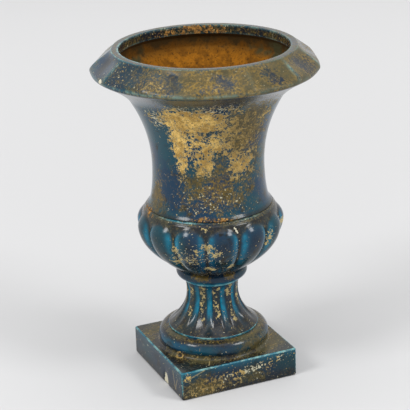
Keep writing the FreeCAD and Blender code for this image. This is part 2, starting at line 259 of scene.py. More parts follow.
def spread_flat(patches, across, height):
    """The same as spread, on a flat face: places and half widths in millimetres."""
    total = np.zeros(across.shape)
    for place, level, half_width, half_height, strength in patches:
        aside = (across - place) / half_width
        above = (height - level) / half_height
        total = total + strength * np.exp(-aside ** 2 - above ** 2)
    return np.maximum(total, 0.0)


def covering(amount, most=0.85):
    """Share of a surface that a crust covers, which levels off as more is laid on."""
    return most * (1.0 - np.exp(-1.5 * amount))


COAT = ("edge", "crease", "pool", "crust", "wash", "fleck", "rust", "chip")


def skin(name, points, node, bare, **coat):
    """Mesh that closes round both ways, from rows of points in millimetres. bare marks the rows of
    uncoated iron, and coat gives the amount of each thing on the enamel, point by point."""
    rows, columns = points.shape[:2]
    index = np.arange(rows * columns).reshape(rows, columns)
    right = np.roll(index, -1, axis=1)
    up = np.roll(index, -1, axis=0)
    across = np.roll(right, -1, axis=0)
    faces = np.stack((index, right, across, up), axis=-1).reshape(-1, 4)
    mesh = bpy.data.meshes.new(name)
    mesh.from_pydata((points.reshape(-1, 3) * MM).tolist(), [], faces.tolist())
    mesh.polygons.foreach_set("use_smooth", np.ones(len(faces), bool))
    bare = bare.ravel() > 0.5
    bare_faces = np.repeat(bare & np.roll(bare, -1), columns)
    mesh.polygons.foreach_set("material_index", bare_faces.astype(np.int32))
    for key in COAT:
        layer = mesh.attributes.new(key, "FLOAT", "POINT")
        amount = np.broadcast_to(coat.get(key, 0.0), (rows, columns))
        layer.data.foreach_set("value", amount.astype(np.float32).ravel())
    mesh.update()
    piece = bpy.data.objects.new(name, mesh)
    bpy.context.scene.collection.objects.link(piece)
    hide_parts(node)
    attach(piece, "root")
    return piece


def polar(radius, angle, height):
    turn = np.radians(angle)
    shape = np.broadcast(radius, angle, height).shape
    return np.stack((np.broadcast_to(radius * np.cos(turn), shape),
                     np.broadcast_to(radius * np.sin(turn), shape),
                     np.broadcast_to(height, shape)), axis=-1)


def edges_and_creases(section):
    bend = section.bend[:, None]
    return smoothstep(0.12, 0.5, bend), smoothstep(0.08, 0.4, -bend)


# Bell
BELL_CRUST = [
    (-126, 368, 19, 15, 2.4), (-140, 330, 7, 30, 1.7), (-119, 330, 13, 20, 0.9),
    (-115, 302, 8, 11, 1.2), (-81, 303, 16, 16, 1), (-94, 350, 18, 32, 0.6),
    (-64, 366, 14, 30, 0.35), (-101, 300, 6, 13, -1.2), (-117, 350.5, 9, 4, -0.4),
    (-104, 330, 9, 14, 0.5),
    (60, 330, 28, 36, 1.2), (96, 364, 24, 18, 1), (5, 296, 14, 32, 1),
    (140, 300, 13, 28, 1),
]
BELL_WASH = [
    (-82, 352, 24, 40, 1.2), (-108, 274, 46, 36, 0.78), (-178, 255, 14, 28, 0.8),
    (40, 320, 80, 70, 0.6),
]
BELL_FLECKS = [
    (-157, 368, 12, 15, 0.98), (-103, 388, 18, 9, 0.8), (-135, 387, 10, 7, 0.75),
    (-113, 256, 50, 30, 0.48), (-113, 320, 60, 70, 0.15), (60, 320, 90, 80, 0.45),
]
SEAM_RUST = [
    (-122, 237, 9, 4, 0.65), (-103, 235, 13, 3.4, 0.6), (176, 233, 14, 6, 0.6),
    (40, 235, 30, 4, 0.7),
]
RIM_CRUST = [
    (-104, 420, 34, 30, 0.15), (-140, 418, 10, 14, 0.2), (60, 424, 60, 60, 0.15),
]
RIM_WASH = [
    (-104, 424, 46, 60, 1.3), (-42, 424, 34, 60, 0.45), (60, 424, 90, 60, 1),
]
RIM_FLECKS = [
    (-166, 420, 16, 40, 0.3), (-100, 424, 60, 60, 0.12), (90, 424, 90, 60, 0.35),
]
BAND_RUST = [
    (75, 436, 32, 30, 0.5), (-90, 436, 70, 30, 0.5),
]
RIM_SHADE = [(-50, 424, 34, 60, 0.9), (-160, 424, 24, 60, 0.5)]
RIM_CHIP = [(-176.4, 415.4, 2.4, 3, 1.2)]
PALE_LEFT = [(178, LIP_LEVEL, 45, 60, 0.7)]
PALE_FRONT = [(-132, RIM_EDGE_LEVEL, 46, 12, 1)]
# painted highlight: pale lines along the rim's ridges
RIDGE_HIGHLIGHTS = [(-45, LIP_LEVEL, 30, 60, 0.7), (178, LIP_LEVEL, 22, 60, 0.45)]
SEAM_SHADE = (239.0, 235.5)  # heights between which it comes in, like each _SHADE, _POOL and _LIGHT below
COVE_SHADE = (388.0, 402.0)
DIP_LEAN = 7.0  # degrees that the rim's painted dip shade leans


def bell():
    base = (BELL_BASE, BELL_SEAT + BASE_GROOVE)
    waist = (WAIST_RADIUS, WAIST_LEVEL)
    body = swing(waist, base, 2.0, spans=80)[::-1]
    body[:, 0] += BASE_FLARE * np.exp((base[1] - body[:, 1]) / FLARE_REACH)
    throat = (THROAT_RADIUS, THROAT_LEVEL)
    cove_end = (RIM_EDGE_RADIUS - RIM_STEP, RIM_EDGE_LEVEL - RIM_STEP)
    flare_lean = FLARE_POWER * (THROAT_RADIUS - WAIST_RADIUS) / (THROAT_LEVEL - WAIST_LEVEL)
    end_rise = math.tan(math.radians(COVE_SLOPE))
    cove_rise = cove_end[1] - THROAT_LEVEL - end_rise * (cove_end[0] - THROAT_RADIUS)
    pole_rise = cove_rise / (1.0 - end_rise * flare_lean)
    cove_pole = (THROAT_RADIUS + flare_lean * pole_rise, THROAT_LEVEL + pole_rise)
    rim_width = RIM_EDGE_RADIUS + RIM_SWELL - ARRIS_RADIUS
    rim_drop = LIP_LEVEL - RIM_EDGE_LEVEL
    rim = bezier(*[(ARRIS_RADIUS + rim_width * out, RIM_EDGE_LEVEL + rim_drop * up)
                   for out, up in RIM_STATIONS])
    inner_throat = (THROAT_RADIUS - WALL, THROAT_LEVEL)
    inner_waist = (WAIST_RADIUS - WALL, WAIST_LEVEL)
    under_lip = (MOUTH_RADIUS + UNDER_LIP_OUT, LIP_LEVEL - UNDER_LIP_DROP)
    section = Section([
        ("seat", [(FLANGE_BORE, BELL_SEAT), (BELL_BASE - BASE_GROOVE, BELL_SEAT)]),
        ("groove", [(BELL_BASE - BASE_GROOVE, BELL_SEAT), body[0]]),
        ("body", body),
        ("body_top", swing(waist, throat, FLARE_POWER)),
        ("cove", bezier(throat, cove_pole, cove_end)),
        ("step", [cove_end, (cove_end[0], RIM_EDGE_LEVEL), (RIM_EDGE_RADIUS, RIM_EDGE_LEVEL)]),
        ("rim", rim),
        ("lip", [(ARRIS_RADIUS, LIP_LEVEL), (MOUTH_RADIUS, LIP_LEVEL)]),
        ("band", [(MOUTH_RADIUS, LIP_LEVEL), (MOUTH_RADIUS, LIP_LEVEL - LIP_BAND)]),
        ("under", [(MOUTH_RADIUS, LIP_LEVEL - LIP_BAND), under_lip]),
        ("inside", [under_lip, (under_lip[0], RIM_EDGE_LEVEL), inner_throat]),
        ("inside", swing(inner_waist, inner_throat, FLARE_POWER)[::-1]),
        ("inside", [inner_waist, (BELL_BASE - WALL, BELL_SEAT + FLANGE)]),
        ("flange", [(BELL_BASE - WALL, BELL_SEAT + FLANGE), (FLANGE_BORE, BELL_SEAT + FLANGE),
                    (FLANGE_BORE, BELL_SEAT)]),
    ], softness=0.7, gaps={"body": 2.4, "body_top": 2.4, "cove": 2.2, "rim": 1.8, "lip": 2.0, "band": 2.5,
                           "inside": 4.0})
    columns = LOBES * 24
    angle = LOBE_TURN + 360.0 * np.arange(columns)[None, :] / columns
    height = section.height[:, None]
    rim = section.on("rim")
    lip = section.on("lip")
    band = section.on("band")
    cove = section.on("cove")
    body = section.on("groove", "body", "body_top", "cove")
    hollow = blend_poles(HOLLOW_STATIONS, section.share)[:, None] * rim
    wave = np.abs(np.sin(np.radians(LOBES * (angle - LOBE_TURN) / 2.0)))
    points = polar(section.radius[:, None] - HOLLOW_DEPTH * hollow * wave, angle, height)
    edge, crease = edges_and_creases(section)
    left = spread(PALE_LEFT, angle, height)
    front = spread(PALE_FRONT, angle, height)
    edge = edge * (section.on("rim", "lip", "step") * (0.3 + left + front) + 0.3 * band)
    # painted highlight along the rim's ridges, laid into the edge amount
    ridge_highlight = smoothstep(0.22, 0.0, wave) * hollow
    edge = np.maximum(edge, ridge_highlight * spread(RIDGE_HIGHLIGHTS, angle, height))
    crease = np.maximum(crease * body, section.on("groove"))
    crease = np.maximum(crease, 0.85 * section.on("body") * smoothstep(*SEAM_SHADE, height))
    crease = np.maximum(crease, 0.55 * cove * smoothstep(*COVE_SHADE, height))
    crease = np.maximum(crease, 0.75 * (band + lip))
    # painted shade: the rim's hollows darkened, leaning and uneven; the same mask also thins the crust and
    # film there
    lean = DIP_LEAN * (section.share[:, None] - 0.5)
    leaning = np.abs(np.sin(np.radians(LOBES * (angle + lean - LOBE_TURN) / 2.0)))
    middle = smoothstep(0.0, 0.35, section.share) * smoothstep(1.0, 0.65, section.share)
    uneven = 0.78 + 0.22 * np.sin(np.radians(5.0 * angle))
    dip_shade = rim * middle[:, None] * uneven * leaning ** 5
    crease = np.maximum(crease, np.maximum(dip_shade, rim * spread(RIM_SHADE, angle, height)))
    off_edge = smoothstep(RIM_EDGE_LEVEL + 0.5, RIM_EDGE_LEVEL + 4.0, height)
    rim_crust = spread(RIM_CRUST, angle, height) * off_edge * (1.0 - 0.75 * dip_shade)
    crust = covering(spread(BELL_CRUST, angle, height), 1.0) * body + rim * rim_crust
    wash = rim * np.minimum(spread(RIM_WASH, angle, height), 1.0) * (1.0 - 0.75 * dip_shade) + 0.5 * (band + lip)
    wash = wash + body * spread(BELL_WASH, angle, height)
    fleck = body * spread(BELL_FLECKS, angle, height) + rim * spread(RIM_FLECKS, angle, height) + 0.3 * band
    rust = spread(SEAM_RUST, angle, height) * body + band * spread(BAND_RUST, angle, height)
    return skin("bell", points, "bell_casting", section.on("under", "inside", "flange", "seat"), edge=edge,
                crease=crease, crust=crust, wash=np.minimum(wash, 1.0), fleck=fleck, rust=rust,
                chip=rim * spread(RIM_CHIP, angle, height))


# Bowl
BOWL_CRUST = [
    (-143, 197, 3, 6, 1.1), (-140.5, 187, 2.5, 4, 0.9), (-119, 206, 4.5, 3.5, 1.1),
    (-113.5, 202.5, 2.5, 5, 1), (-125.5, 196, 2.5, 4, 0.8), (-109.5, 194, 4.5, 4, 0.9),
    (-115, 167.5, 6, 3, 1.2), (-95, 168.5, 5, 3.5, 1), (-131, 182, 6, 7, 0.5),
    (-146, 176, 5, 6, 0.9), (-118, 227, 5, 4, 0.7), (-60, 200, 5, 12, 0.5),
    (-30, 205, 6, 6, 1), (10, 190, 7, 8, 1), (55, 203, 6, 5, 1),
    (92, 185, 6, 9, 0.9), (130, 205, 5, 6, 1), (162, 178, 6, 8, 0.9),
]
BOWL_FLECKS = [
    (-122, 190, 26, 18, 0.45), (-113, 190, 80, 45, 0.2), (60, 190, 70, 40, 0.4),
]
# olive film on the collar, most of it laid as a painted highlight on its front
COLLAR_SHEEN_FILM = [
    (-132, 143, 20, 5, 1.1), (-82, 143, 13, 5, 0.9), (20, 140, 40, 4, 0.5),
]
BOWL_SCRATCH = ((-93.0, 226.0), (-90.8, 219.5))
SCRATCH_RADIUS = 90.0  # of the bowl at that scratch
SCRATCH_HALF_WIDTH = 0.9
LIT_BEAD = [(-140, BELL_SEAT, 18, 6, 0.95), (-75, BELL_SEAT, 12, 6, 0.3)]
BEAD_LIGHT = (231.0, 233.0)
LOBE_FOOT_SHADE = (172.0, 152.0)
SPANDREL_SHADE = (200.0, 226.0)
COLLAR_SHADE = (134.0, 137.5)
COLLAR_POOL = (137.0, 133.5)
LOBE_POOL = (158.0, 212.0)
POOL_INSET = 6.0  # middle of the pooled glass, from the groove
POOL_WIDTH = 4.0


def near_line(start, end, angle, height, radius, half_width):
    """1 on a line between two places given as direction and height, down to 0 beside it."""
    across = np.radians(angle - start[0]) * radius
    along = (math.radians(end[0] - start[0]) * radius, end[1] - start[1])
    length = along[0] ** 2 + along[1] ** 2
    share = np.clip((across * along[0] + (height - start[1]) * along[1]) / length, 0.0, 1.0)
    gap = np.hypot(across - share * along[0], height - start[1] - share * along[1])
    return smoothstep(2.0 * half_width, 0.5 * half_width, gap)


def bowl():
    bead_level = BELL_SEAT - BEAD_DROP
    bead_arc = arc((BEAD_CENTRE, bead_level), BEAD_RADIUS, 0.0, 180.0)
    top_level = BELL_SEAT - FLANGE
    foot = (GADROON_FOOT_RADIUS, COLLAR_LEVEL)
    belly = (BOWL_RADIUS, BELLY_LEVEL)
    shoulder = (SHOULDER_RADIUS + UPPER_RELIEF[-1], SHOULDER_LEVEL)
    lower_run = bezier(foot, (BOWL_RADIUS, (COLLAR_LEVEL + BELLY_LEVEL) / 2), belly)
    upper_run = bezier(belly, (BOWL_RADIUS, BELLY_LEVEL + SHOULDER_PULL), shoulder)
    for run, reliefs in ((lower_run, LOWER_RELIEF), (upper_run, UPPER_RELIEF)):
        run[:, 0] -= blend_poles(reliefs, np.linspace(0.0, 1.0, len(run)))
    ring_top = BOWL_SEAT + RING_HEIGHT
    socket_top = BOWL_SEAT + BOWL_SOCKET_DEPTH
    section = Section([
        ("seat", [(BOWL_SOCKET, BOWL_SEAT), (RING_RADIUS, BOWL_SEAT)]),
        ("ring", [(RING_RADIUS, BOWL_SEAT), (RING_RADIUS, ring_top), (COLLAR_FOOT, ring_top)]),
        ("collar", bezier((COLLAR_FOOT, ring_top), (COLLAR_PULL, ring_top), COLLAR_BELLY)),
        ("collar", bezier(COLLAR_BELLY, COLLAR_CROWN, (COLLAR_TOP, COLLAR_LEVEL))),
        ("lower", lower_run),
        ("upper", upper_run),
        ("bead", [upper_run[-1], bead_arc[0]]),
        ("bead", bead_arc),
        ("joint", [bead_arc[-1], (JOINT_RADIUS, BELL_SEAT)]),
        ("top", [(JOINT_RADIUS, BELL_SEAT), (FLANGE_BORE, BELL_SEAT), (FLANGE_BORE, top_level),
                 (INSIDE_TOP, top_level)]),
        ("inside", [(INSIDE_TOP, top_level), (INSIDE_BELLY, BELLY_LEVEL), *INSIDE_FLANK,
                    (FLOOR_RADIUS, FLOOR_LEVEL)]),
        ("floor", [(FLOOR_RADIUS, FLOOR_LEVEL), (ROD_BORE, FLOOR_LEVEL), (ROD_BORE, socket_top),
                   (BOWL_SOCKET, socket_top), (BOWL_SOCKET, BOWL_SEAT)]),
    ], softness=0.6, gaps={"collar": 1.6, "lower": 2.0, "upper": 1.4, "bead": 1.0, "inside": 5.0})
    steps = 22
    even = np.arange(steps) / steps
    across = 0.5 * even + 0.5 * (0.5 - 0.5 * np.cos(math.pi * even))  # closer together by the grooves
    start = LOBE_TURN + LOBE_STEP * np.arange(LOBES)
    angle = (start[:, None] + LOBE_STEP * across[None, :]).reshape(1, -1)
    side = np.tile(2.0 * across - 1.0, LOBES)[None, :]  # -1 and 1 in the grooves
    height = section.height[:, None]
    groove = section.radius[:, None]
    lower = section.zone == "lower"
    upper = section.zone == "upper"
    lobed = (lower | upper)[:, None]
    relief = np.zeros(len(height))
    relief[lower] = blend_poles(LOWER_RELIEF, section.share[lower])
    relief[upper] = blend_poles(UPPER_RELIEF, section.share[upper])
    relief = relief[:, None]
    # a lobe bulges from groove to groove and ends in a dome between two spandrels
    half = math.radians(LOBE_STEP / 2)
    narrowing = np.clip((height - LOBE_TOP_START) / (LOBE_TOP - LOBE_TOP_START), 0.0, 1.0)
    from_middle = np.minimum(np.hypot(side, narrowing), 1.0)
    lobe_radius = groove + relief * (1.0 - from_middle ** 2) ** LOBE_ROUNDNESS
    from_groove = (1.0 - from_middle) * (groove + relief) * half
    glaze_fill = GROOVE_GLAZE * np.exp(-from_groove ** 2) * np.minimum(relief, 1.0)
    points = polar(np.where(lobed, lobe_radius + glaze_fill, groove), angle, height)
    edge, crease = edges_and_creases(section)
    ring = section.on("ring")
    bead = section.on("bead", "joint")
    collar = section.on("collar")
    outside = section.on("collar", "lower", "upper", "bead", "joint")
    lit_bead = spread(LIT_BEAD, angle, height)
    edge = np.maximum(0.9 * edge * ring, bead * lit_bead * smoothstep(*BEAD_LIGHT, height))
    foot_brown = smoothstep(*LOBE_FOOT_SHADE, height)
    reach = 2.0 + 1.6 * smoothstep(*SPANDREL_SHADE, height) + 2.4 * foot_brown
    crease = np.where(lobed, np.exp(-(from_groove / reach) ** 2), crease)
    crease = np.maximum(crease, 0.8 * np.where(lobed, foot_brown, 0.0))
    face_brown = smoothstep(0.75, 0.1, np.abs(side)) * smoothstep(LOBE_TOP, 205.0, height)
    crease = np.maximum(crease, np.where(lobed, 0.5 * face_brown, 0.0))
    crease = np.maximum(crease, bead * 0.7)
    crease = np.maximum(crease, collar * smoothstep(*COLLAR_SHADE, height) * 0.4)
    from_side = (1.0 - np.abs(side)) * (groove + relief) * half
    beside_groove = np.exp(-((from_side - POOL_INSET) / POOL_WIDTH) ** 2)
    # turquoise pooled glass beside each groove, made stronger towards the top and on each lobe's left side
    # as painted highlight
    lobe_pool_and_sheen = np.where(lobed, beside_groove * smoothstep(*LOBE_POOL, height), 0.0)
    lobe_pool_and_sheen = lobe_pool_and_sheen * (1.0 - narrowing ** 2) * np.minimum(1.05 - 0.35 * side, 1.0)
    pool = lobe_pool_and_sheen + ring + 0.8 * collar * smoothstep(*COLLAR_POOL, height)
    crust = covering(spread(BOWL_CRUST, angle, height)) * outside
    fleck = outside * spread(BOWL_FLECKS, angle, height)
    fleck = np.maximum(fleck, np.where(lobed, 0.4 * crease * (1.0 - narrowing), 0.0)) + 0.25 * bead
    # painted highlight on the collar, as pale film that also lifts the brown there
    collar_sheen_film = collar * spread(COLLAR_SHEEN_FILM, angle, height)
    crease = crease * (1.0 - 0.8 * np.minimum(collar_sheen_film, 1.0))
    wash = 0.5 * bead + collar_sheen_film + np.where(lobed, 0.2 * crease, 0.0)
    scratch = near_line(*BOWL_SCRATCH, angle, height, SCRATCH_RADIUS, SCRATCH_HALF_WIDTH) * outside
    piece = skin("bowl", points, "gadrooned_bowl", section.on("inside", "floor", "seat", "top"), edge=edge,
                 crease=crease, pool=pool, crust=crust, wash=wash, fleck=fleck,
                 rust=spread(SEAM_RUST, angle, height) * outside, chip=scratch)
    drill_drains(piece)
    return piece


def drill_drains(piece):
    """Cut the drain holes through the bowl's floor."""
    middle = (FLOOR_LEVEL + BOWL_SEAT) / 2
    radius = DRAIN_RADIUS * MM
    depth = 2.0 * (FLOOR_LEVEL - BOWL_SEAT) * MM
    for index in range(DRAINS):
        turn = math.radians(360.0 * index / DRAINS)
        place = Vector((DRAIN_CIRCLE * math.cos(turn), DRAIN_CIRCLE * math.sin(turn), middle))
        build = bmesh.new()
        bmesh.ops.create_cone(build, cap_ends=True, segments=24, radius1=radius, radius2=radius,
                              depth=depth, matrix=Matrix.Translation(place * MM))
        drill_mesh = bpy.data.meshes.new("drill")
        build.to_mesh(drill_mesh)
        build.free()
        drill = bpy.data.objects.new("drill", drill_mesh)
        bpy.context.scene.collection.objects.link(drill)
        cut = piece.modifiers.new("drain", "BOOLEAN")
        cut.operation = "DIFFERENCE"
        cut.object = drill
        drilled = bpy.data.meshes.new_from_object(piece.evaluated_get(bpy.context.evaluated_depsgraph_get()))
        piece.modifiers.clear()
        piece.data = drilled
        bpy.data.objects.remove(drill)


# Stem
STEM_CRUST = [
    (-135.5, 122, 5, 6, 1.1), (-105.4, 122, 9, 6, 1.1), (-75, 118, 10, 9, 1.1),
    (-135.4, 102, 5, 9, 1), (-134, 86, 4, 5, 0.9), (-105.4, 100, 5, 10, 0.9),
    (-104, 90, 4, 5, 0.7), (-75.4, 96, 5, 8, 0.7), (-72, 82, 5, 5, 0.6),
    (-164, 88, 6, 6, 0.9), (-165.4, 116, 5, 8, 0.8), (-45.4, 104, 5, 14, 0.8),
    (-15.4, 116, 6, 9, 1), (14.6, 98, 5, 9, 1), (44.6, 118, 8, 7, 1),
    (74.6, 92, 5, 8, 1), (104.6, 112, 5, 12, 1), (134.6, 96, 5, 8, 0.9),
    (164.6, 116, 6, 8, 1),
]
STEM_SHADE = (96.0, 76.0)


def stem():
    foot_top = STEM_SEAT + FOOT_STEP
    poles = []
    for index, (foot, top) in enumerate(SHAFT_STATIONS):
        radius = NECK_RADIUS + (FOOT_RADIUS - NECK_RADIUS) * foot + (STEM_TOP_RADIUS - NECK_RADIUS) * top
        poles.append((radius, foot_top + (BOWL_SEAT - foot_top) * index / (len(SHAFT_STATIONS) - 1)))
    shaft = bezier(*poles, spans=80)
    under_foot = (FOOT_RADIUS - UNDERSIDE_COAT, STEM_SEAT)
    section = Section([
        ("spigot", [(SPIGOT_BORE, SPIGOT_FOOT), (SPIGOT_RADIUS, SPIGOT_FOOT), (SPIGOT_RADIUS, STEM_SEAT),
                    under_foot]),
        ("foot", [under_foot, (FOOT_RADIUS + FOOT_LEDGE, STEM_SEAT),
                  (FOOT_RADIUS + FOOT_LEDGE, foot_top), (FOOT_RADIUS, foot_top)]),
        ("shaft", shaft),
        ("top", [(STEM_TOP_RADIUS, BOWL_SEAT), (TOP_SPIGOT_RADIUS, BOWL_SEAT),
                 (TOP_SPIGOT_RADIUS, TOP_SPIGOT_LEVEL), (STEM_BORE, TOP_SPIGOT_LEVEL),
                 (STEM_BORE, BORE_START), (SPIGOT_BORE, STEM_SEAT), (SPIGOT_BORE, SPIGOT_FOOT)]),
    ], softness=0.6, gaps={"foot": 0.8, "shaft": 1.3})
    flute_steps, fillet_steps = 12, 8
    in_flute = np.r_[np.arange(flute_steps) / flute_steps, np.zeros(fillet_steps)]
    in_fillet = np.r_[np.zeros(flute_steps), np.arange(fillet_steps) / fillet_steps]
    offset = FLUTE_STEP * (FLUTE_SHARE * (in_flute - 0.5))
    offset[flute_steps:] = FLUTE_STEP * (FLUTE_SHARE / 2 + (1.0 - FLUTE_SHARE) * in_fillet[flute_steps:])
    start = FLUTE_TURN + FLUTE_STEP * np.arange(FLUTES)
    angle = (start[:, None] + offset[None, :]).reshape(1, -1)
    in_hollow = np.arange(len(offset)) < flute_steps
    hollow = np.tile(np.where(in_hollow, 4.0 * in_flute * (1.0 - in_flute), 0.0), FLUTES)[None, :]
    shaft_rows = section.on("shaft")
    foot_rows = section.on("foot")
    rise = section.share[:, None] * shaft_rows
    depth = blend_poles(FLUTE_STATIONS, rise[:, 0])[:, None] * shaft_rows
    height = section.height[:, None]
    points = polar(section.radius[:, None] - FLUTE_GAIN * FLUTE_DEPTH * depth * hollow, angle, height)
    edge, crease = edges_and_creases(section)
    fillet = np.tile(np.where(in_hollow, 0.0, 1.0), FLUTES)[None, :]
    fillet = np.maximum(fillet, smoothstep(0.45, 0.1, hollow))
    brown = shaft_rows * smoothstep(*STEM_SHADE, height)
    crease = np.maximum(crease * foot_rows, 0.95 * brown)
    crease = np.maximum(crease, shaft_rows * 0.7 * fillet)
    pool = depth * smoothstep(0.25, 0.9, hollow)
    crust = 0.78 * covering(spread(STEM_CRUST, angle, height)) * shaft_rows * (0.35 + 0.65 * fillet)
    return skin("stem", points, "fluted_stem", section.on("spigot", "top"), edge=0.8 * edge * foot_rows,
                crease=crease, pool=pool, crust=crust, wash=shaft_rows * 0.25 * fillet,
                fleck=0.22 * (shaft_rows + foot_rows))


# Plinth
PLINTH_PIT = (-62.6, -33.5, 40.6)
PIT_RADIUS = 3.4
PIT_RING_RADIUS = 4.9
PIT_RING_WIDTH = 1.4
FACE_DEPTH = 3.0  # what counts as part of one side
HALO_RISE = 6.0
SIDE_POOL = (27.0, 38.5)
SIDE_SHADE = (18.0, 4.0)
TORUS_FOOT_SHADE = (50.0, 43.0)
TORUS_TOP_SHADE = (55.0, 60.0)
# turquoise on the torus's belly, strongest on its left side as painted highlight
TORUS_POOL_AND_SHEEN = [(-155, 52, 36, 5, 0.3), (-100, 52, 24, 4, 0.16)]
DARK_TORUS = [(-90, 50, 40, 20, 0.6)]
LIT_TORUS = [(-60, 50, 30, 20, 0.5)]
PLINTH_HALO = [
    (144, 88, 22, 14, 1), (-152, 74, 26, 7, 0.9), (-122, 74, 14, 8, 0.9),
    (-46, 80, 20, 10, 1), (-20, 78, 26, 14, 0.8), (40, 82, 30, 14, 0.9),
    (100, 80, 26, 12, 0.8), (-90, 74, 12, 5, 0.6),
]
FRONT_CRUST = [
    (-60, 11, 18, 10, 0.4), (-36, 12, 16, 10, 0.32), (-72, 30, 7, 7, 0.4),
    (-6, 12, 22, 8, 0.2),
]
FRONT_FLECKS = [
    (-10, 22, 30, 7, 0.6), (28, 25, 24, 6, 0.6), (60, 31, 18, 5, 0.62),
    (10, 14, 70, 14, 0.3),
]
FRONT_FILM = [(-52, 12, 30, 16, 1), (10, 12, 50, 14, 0.5)]
SIDE_CHIP = [(-26, 3, 5, 12, 2)]
SCRATCHES = [  # thin pale lines, by their ends
    ((-27, -46.5, 39), (-39.7, -74.2, 39)), ((-50, -81.8, 36.9), (-69.8, -81.8, 29.9)),
    ((-81.8, -51.7, 30.6), (-81.8, -58.7, 7.4)), ((-81.8, -58.7, 7.4), (-81.8, -65.9, 23.7)),
]


